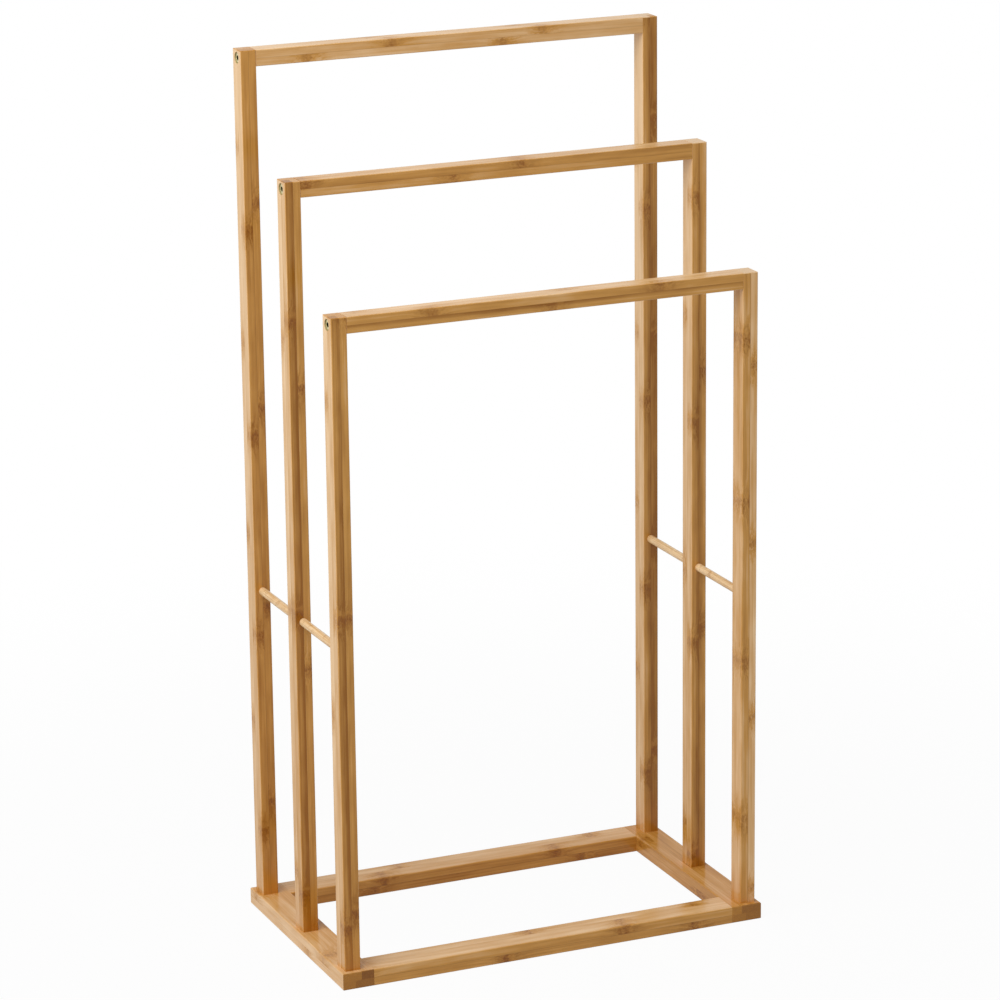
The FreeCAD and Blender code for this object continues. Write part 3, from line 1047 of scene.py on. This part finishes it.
@dataclass(frozen=True)
class SocketScrews:
    """Hexagon socket screws, in metres; each row is made by one geometry node tree."""

    head_radius: float = 0.0046
    head_height: float = 0.0035
    rim: float = 0.0005
    socket: float = 0.002
    socket_depth: float = 0.003
    shank_radius: float = 0.0032
    length: float = 0.05
    turns: int = 48
    socket_points: int = 3  # how many of the outline's first points are the socket's
    mouth_hexagon: float = 0.35  # how far the socket's mouth still follows the hexagon
    lip: float = 0.7  # how deep the bevel of the mouth goes, in rims
    rounding: float = 0.3  # how far in the rim's rounded corner lies, in rims
    taper_start: float = 0.97  # where the shank starts to taper, along its length
    tip: float = 0.6  # the tip's radius against the shank's
    side_x: float = 0.2052
    post_x: float = 0.1985
    row_y: float = 0.105
    sunk: float = 0.0008
    bar_heights: Triple = (0.6125, 0.7125, 0.8125)
    merge: float = 1e-6
    doubles: float = 2e-6
    slivers: float = 1e-7
    smooth_below: float = 32.0  # degrees

    def sizes(self) -> dict[str, float]:
        """Names the tree's sizes.

        Returns:
            The value of each size input.
        """
        return {
            "Head radius": self.head_radius,
            "Head height": self.head_height,
            "Rim": self.rim,
            "Socket": self.socket,
            "Socket depth": self.socket_depth,
            "Shank radius": self.shank_radius,
            "Length": self.length,
        }

    def rows(self) -> tuple[ScrewRow, ...]:
        """Lists the stand's five rows of screws.

        Returns:
            One row through each hoop's posts, and one up into the posts of each side.
        """
        hoops = zip(("front", "middle", "rear"), (-self.row_y, 0.0, self.row_y), self.bar_heights)
        crossbars = tuple(
            ScrewRow(
                f"{hoop}_crossbar_socket_screws",
                f"{hoop}_crossbar_screws",
                first=(-self.side_x, y, z),
                step=(2 * self.side_x, 0.0, 0.0),
                count=2,
                facing=(-1.0, 0.0, 0.0),
                mirrored=True,
            )
            for hoop, y, z in hoops
        )
        posts = tuple(
            ScrewRow(
                f"{side}_post_socket_screws",
                f"{side}_post_screws",
                first=(x, -self.row_y, self.sunk),
                step=(0.0, self.row_y, 0.0),
                count=3,
                facing=(0.0, 0.0, -1.0),
            )
            for side, x in (("left", -self.post_x), ("right", self.post_x))
        )
        return crossbars + posts

    def tree(self, material: bpy.types.Material) -> bpy.types.NodeTree:
        """Builds the tree that turns a screw's outline and sets it along a row.

        Args:
            material: The steel.

        Returns:
            The geometry node tree.
        """
        tree = bpy.data.node_groups.new("socket screw row", "GeometryNodeTree")
        add: Adder = partial(add_node, tree)
        for name, side, kind in (
            *((name, "INPUT", "Float") for name in self.sizes()),
            ("Count", "INPUT", "Int"),
            *((name, "INPUT", "Vector") for name in ("First", "Step", "Turn", "Turn of last")),
            ("Geometry", "OUTPUT", "Geometry"),
        ):
            tree.interface.new_socket(name, in_out=side, socket_type=f"NodeSocket{kind}")
        given = add("NodeGroupInput").outputs

        # The outline: radius, height and how far it follows the hexagon, point by point.
        at = {
            name: add(MATH, {0: given[first], 1: second}, operation)
            for name, first, second, operation in (
                ("rim inside", "Head radius", given["Rim"], "SUBTRACT"),
                ("socket mouth", "Socket", given["Rim"], "ADD"),
                ("floor", "Socket depth", -1.0, "MULTIPLY"),
                ("lip", "Rim", -self.lip, "MULTIPLY"),
                ("rim down", "Rim", -1.0, "MULTIPLY"),
                ("rim part", "Rim", -self.rounding, "MULTIPLY"),
                ("under head", "Head height", -1.0, "MULTIPLY"),
                ("tip", "Length", -1.0, "MULTIPLY"),
                ("shank end", "Length", -self.taper_start, "MULTIPLY"),
                ("tip radius", "Shank radius", self.tip, "MULTIPLY"),
            )
        }
        rounded = add(MATH, {0: given["Head radius"], 1: at["rim part"]}, "ADD")
        outline = (
            (0.0, at["floor"], 1.0),
            (given["Socket"], at["floor"], 1.0),
            (given["Socket"], at["lip"], 1.0),
            (at["socket mouth"], 0.0, self.mouth_hexagon),
            (at["rim inside"], 0.0, 0.0),
            (rounded, at["rim part"], 0.0),
            (given["Head radius"], at["rim down"], 0.0),
            (given["Head radius"], at["under head"], 0.0),
            (given["Shank radius"], at["under head"], 0.0),
            (given["Shank radius"], at["shank end"], 0.0),
            (at["tip radius"], at["tip"], 0.0),
            (0.0, at["tip"], 0.0),
        )
        points = len(outline)
        sheet = add("GeometryNodeMeshGrid", {"Vertices X": self.turns + 1, "Vertices Y": points})
        index = add("GeometryNodeInputIndex")
        row = add(MATH, {0: index, 1: float(points)}, "DIVIDE")
        spoke = add(MATH, {0: row}, "FLOOR")
        point = add(MATH, {0: index, 1: float(points)}, "MODULO")
        angle = add(MATH, {0: spoke, 1: 2 * math.pi / self.turns}, "MULTIPLY")
        switch = add("GeometryNodeIndexSwitch", data_type="VECTOR")
        while len(switch.index_switch_items) < points:
            switch.index_switch_items.new()
        tree.links.new(point.outputs[0], switch.inputs["Index"])
        for number, parts in enumerate(outline, start=1):
            spot = add("ShaderNodeCombineXYZ", dict(enumerate(parts)))
            tree.links.new(spot.outputs[0], switch.inputs[number])
        told = add("ShaderNodeSeparateXYZ", {0: switch}).outputs

        # A hexagon's radius at an angle is its apothem over the cosine to the nearest flat.
        half = math.pi / 6
        to_flat = add(MATH, {0: angle, 1: half, 2: -half}, "WRAP")
        cosine = add(MATH, {0: to_flat}, "COSINE")
        hexagon = add(MATH, {0: told["X"], 1: cosine}, "DIVIDE")
        radius = add(MIX, {"Factor": told["Z"], 2: told["X"], 3: hexagon})
        x, y = (
            add(MATH, {0: add(MATH, {0: angle}, way), 1: radius}, "MULTIPLY")
            for way in ("COSINE", "SINE")
        )
        where = add("ShaderNodeCombineXYZ", {0: x, 1: y, 2: told["Y"]})
        turned = add("GeometryNodeSetPosition", {"Geometry": sheet, "Position": where})
        in_socket = add(MATH, {0: point, 1: self.socket_points - 0.5}, "LESS_THAN")
        marked = add(
            "GeometryNodeStoreNamedAttribute",
            {"Geometry": turned, "Name": SOCKET_ATTRIBUTE, "Value": in_socket},
        )
        closed = add("GeometryNodeMergeByDistance", {"Geometry": marked, "Distance": self.merge})

        # One screw on each point of the row; the last may look the other way.
        line = add(
            "GeometryNodeMeshLine",
            {"Count": given["Count"], "Start Location": given["First"], "Offset": given["Step"]},
        )
        final = add(MATH, {0: given["Count"], 1: 1.5}, "SUBTRACT")
        is_last = add(MATH, {0: index, 1: final}, "GREATER_THAN")
        ways = {"Factor": is_last, 4: given["Turn"], 5: given["Turn of last"]}
        turn = add(MIX, ways, data_type="VECTOR").outputs[1]
        screws = add(
            "GeometryNodeInstanceOnPoints", {"Points": line, "Instance": closed, "Rotation": turn}
        )
        real = add("GeometryNodeRealizeInstances", {"Geometry": screws})
        steel = add("GeometryNodeSetMaterial", {"Geometry": real, "Material": material})
        add("NodeGroupOutput", {"Geometry": steel})
        return tree

    def build(self, finish: YellowZincSteel) -> None:
        """Builds every row of screws.

        Args:
            finish: The screws' steel.
        """
        tree = self.tree(finish.material())
        identifiers = {
            item.name: item.identifier
            for item in tree.interface.items_tree
            if item.item_type == "SOCKET" and item.in_out == "INPUT"
        }
        for row in self.rows():
            carrier = bpy.data.objects.new(row.name, bpy.data.meshes.new(row.name))
            bpy.context.scene.collection.objects.link(carrier)
            maker = carrier.modifiers.new("row", "NODES")
            maker.node_group = tree
            face = Vector(row.facing)
            turn, last = (
                way.to_track_quat("Z", "Y").to_euler()
                for way in (face, -face if row.mirrored else face)
            )
            values = self.sizes() | {
                "Count": row.count,
                "First": row.first,
                "Step": row.step,
                "Turn": tuple(turn),
                "Turn of last": tuple(last),
            }
            for name, value in values.items():
                maker[identifiers[name]] = value
            graph = bpy.context.evaluated_depsgraph_get()
            mesh = bpy.data.meshes.new_from_object(carrier.evaluated_get(graph))
            carrier.modifiers.remove(maker)
            carrier.data = mesh
            self.close(mesh)
            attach(carrier, "root")
            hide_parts(row.node)
            LOG.info("built %s, %d screws", row.name, row.count)

    def close(self, mesh: bpy.types.Mesh) -> None:
        """Merges a mesh's doubles, points its faces outwards and smooths its round sides.

        Args:
            mesh: The mesh to close.
        """
        work = bmesh.new()
        work.from_mesh(mesh)
        bmesh.ops.remove_doubles(work, verts=work.verts, dist=self.doubles)
        bmesh.ops.dissolve_degenerate(work, dist=self.slivers, edges=work.edges)
        bmesh.ops.recalc_face_normals(work, faces=work.faces)
        sharp = math.radians(self.smooth_below)
        for edge in work.edges:
            edge.smooth = len(edge.link_faces) == 2 and edge.calc_face_angle(0.0) < sharp
        for face in work.faces:
            face.smooth = True
        work.to_mesh(mesh)
        work.free()


@dataclass(frozen=True)
class Studio:
    """A white floor and soft studio light, brightest from the upper left."""

    floor_side: float = 14.0
    ambient: float = 0.41
    floor_colour: str = "#DCDCDC"
    shadow_reach: Pair = (0.35, 1.3)
    whitening: float = 0.95
    key_place: Triple = (-1.58, -0.89, 2.34)
    key_aim: Triple = (0.0, 0.0, 0.45)
    key_size: float = 2.4
    key_watts: float = 58.0

    def build(self) -> None:
        """Builds the floor, the world and the lamp."""
        self.build_floor()
        self.build_world()
        light = bpy.data.lights.new("key softbox", "AREA")
        light.shape = "SQUARE"
        light.size = self.key_size
        light.energy = self.key_watts
        lamp = bpy.data.objects.new("key softbox", light)
        bpy.context.scene.collection.objects.link(lamp)
        lamp.location = self.key_place
        aim = Vector(self.key_aim) - Vector(self.key_place)
        lamp.rotation_euler = aim.to_track_quat("-Z", "Y").to_euler()
        lamp.visible_camera = False
        LOG.info("built the studio")

    @staticmethod
    def seen_directly(add: Adder) -> bpy.types.Node:
        """Finds the rays that show a surface: straight, mirrored or through glass.

        Args:
            add: Adds a node to the material or world.

        Returns:
            A mask that is 1 for those rays, and 0 for the ones that light the stand.
        """
        ray = add("ShaderNodeLightPath").outputs
        seen: Source = ray["Is Camera Ray"]
        for other in ("Is Glossy Ray", "Is Transmission Ray"):
            seen = add(MATH, {0: seen, 1: ray[other]}, "MAXIMUM")
        return seen

    def build_floor(self) -> None:
        """Builds the floor: matt white paper to the eye, with the stand's soft shadow on it."""
        half = self.floor_side / 2
        corners = [(-half, -half, 0), (half, -half, 0), (half, half, 0), (-half, half, 0)]
        mesh = bpy.data.meshes.new("studio_floor")
        mesh.from_pydata(corners, [], [(0, 1, 2, 3)])
        floor = bpy.data.objects.new("studio_floor", mesh)
        bpy.context.scene.collection.objects.link(floor)
        material, add = blank_material("matt white studio floor")
        paper = add("ShaderNodeBsdfDiffuse", {"Color": to_linear(self.floor_colour)})
        glow = add("ShaderNodeEmission", {"Color": WHITE, "Strength": 1.0})
        # The shadow shows near the stand and fades to plain white away from it.
        spot = add("ShaderNodeTexCoord").outputs["Object"]
        away = add(VECTORS, {0: spot}, "LENGTH").outputs["Value"]
        near, far = self.shadow_reach
        fade = {"Value": away, "From Min": near, "From Max": far, "To Min": self.whitening}
        white = add(RANGE, fade, interpolation_type="SMOOTHSTEP")
        share = add(MATH, {0: white, 1: self.seen_directly(add)}, "MULTIPLY")
        mixed = add("ShaderNodeMixShader", {0: share, 1: paper, 2: glow})
        add("ShaderNodeOutputMaterial", {"Surface": mixed})
        mesh.materials.append(material)

    def build_world(self) -> None:
        """Makes the world: white where it is seen or mirrored, a plain ambient elsewhere."""
        world = bpy.data.worlds.new("white studio")
        bpy.context.scene.world = world
        world.use_nodes = True
        world.node_tree.nodes.clear()
        add: Adder = partial(add_node, world.node_tree)
        soft, white = (
            add("ShaderNodeBackground", {"Color": WHITE, "Strength": strength})
            for strength in (self.ambient, 1.0)
        )
        mixed = add("ShaderNodeMixShader", {0: self.seen_directly(add), 1: soft, 2: white})
        add("ShaderNodeOutputWorld", {"Surface": mixed})


@dataclass(frozen=True)
class StudioCamera:
    """The photograph's view: angles in degrees, lengths in metres, focal length in pixels."""

    azimuth: float = -23.27916
    elevation: float = 15.92264
    roll: float = -0.65734
    distance: float = 3.94263839
    target: Triple = (0.00042707, 0.0, 0.40266873)
    focal_px: float = 4297.92883
    sensor_mm: float = 36.0

    def build(self) -> None:
        """Creates the camera and makes it the scene's."""
        turn, lift, roll = map(math.radians, (self.azimuth, self.elevation, self.roll))
        flat = math.cos(lift)
        back = Vector((math.sin(turn) * flat, -math.cos(turn) * flat, math.sin(lift)))
        right = (-back).cross(Vector((0, 0, 1))).normalized()
        up = right.cross(-back)
        rolled_right = math.cos(roll) * right + math.sin(roll) * up
        rolled_up = -math.sin(roll) * right + math.cos(roll) * up
        data = bpy.data.cameras.new("studio camera")
        data.sensor_fit = "HORIZONTAL"
        data.sensor_width = self.sensor_mm
        data.lens = self.focal_px * self.sensor_mm / IMAGE_SIDE_PX
        data.clip_start, data.clip_end = 0.1, 100.0
        camera = bpy.data.objects.new("studio camera", data)
        bpy.context.scene.collection.objects.link(camera)
        axes = Matrix((rolled_right, rolled_up, back)).transposed().to_4x4()
        place = Vector(self.target) + back * self.distance
        camera.matrix_world = Matrix.Translation(place) @ axes
        bpy.context.scene.camera = camera
        LOG.info("placed the camera")


def main() -> None:
    """Builds the stand, its studio and its camera."""
    logging.basicConfig(level=logging.INFO, format="%(name)s: %(message)s")
    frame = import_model()

    StudioCamera().build()
    Studio().build()

    grain = BambooGrain(BambooColours(), BambooScale(), KnuckleScar(), BambooShares())
    bamboo = LaminatedBamboo()
    for work in (BaseFrame(), FrontHoop(), MiddleHoop(), RearHoop()):
        work.dress(frame, bamboo, grain)
    TieRods().dress(frame, TurnedBamboo())
    SocketScrews().build(YellowZincSteel())

    view = bpy.context.scene.view_settings
    view.view_transform = "Standard"


if __name__ == "__main__":
    main()
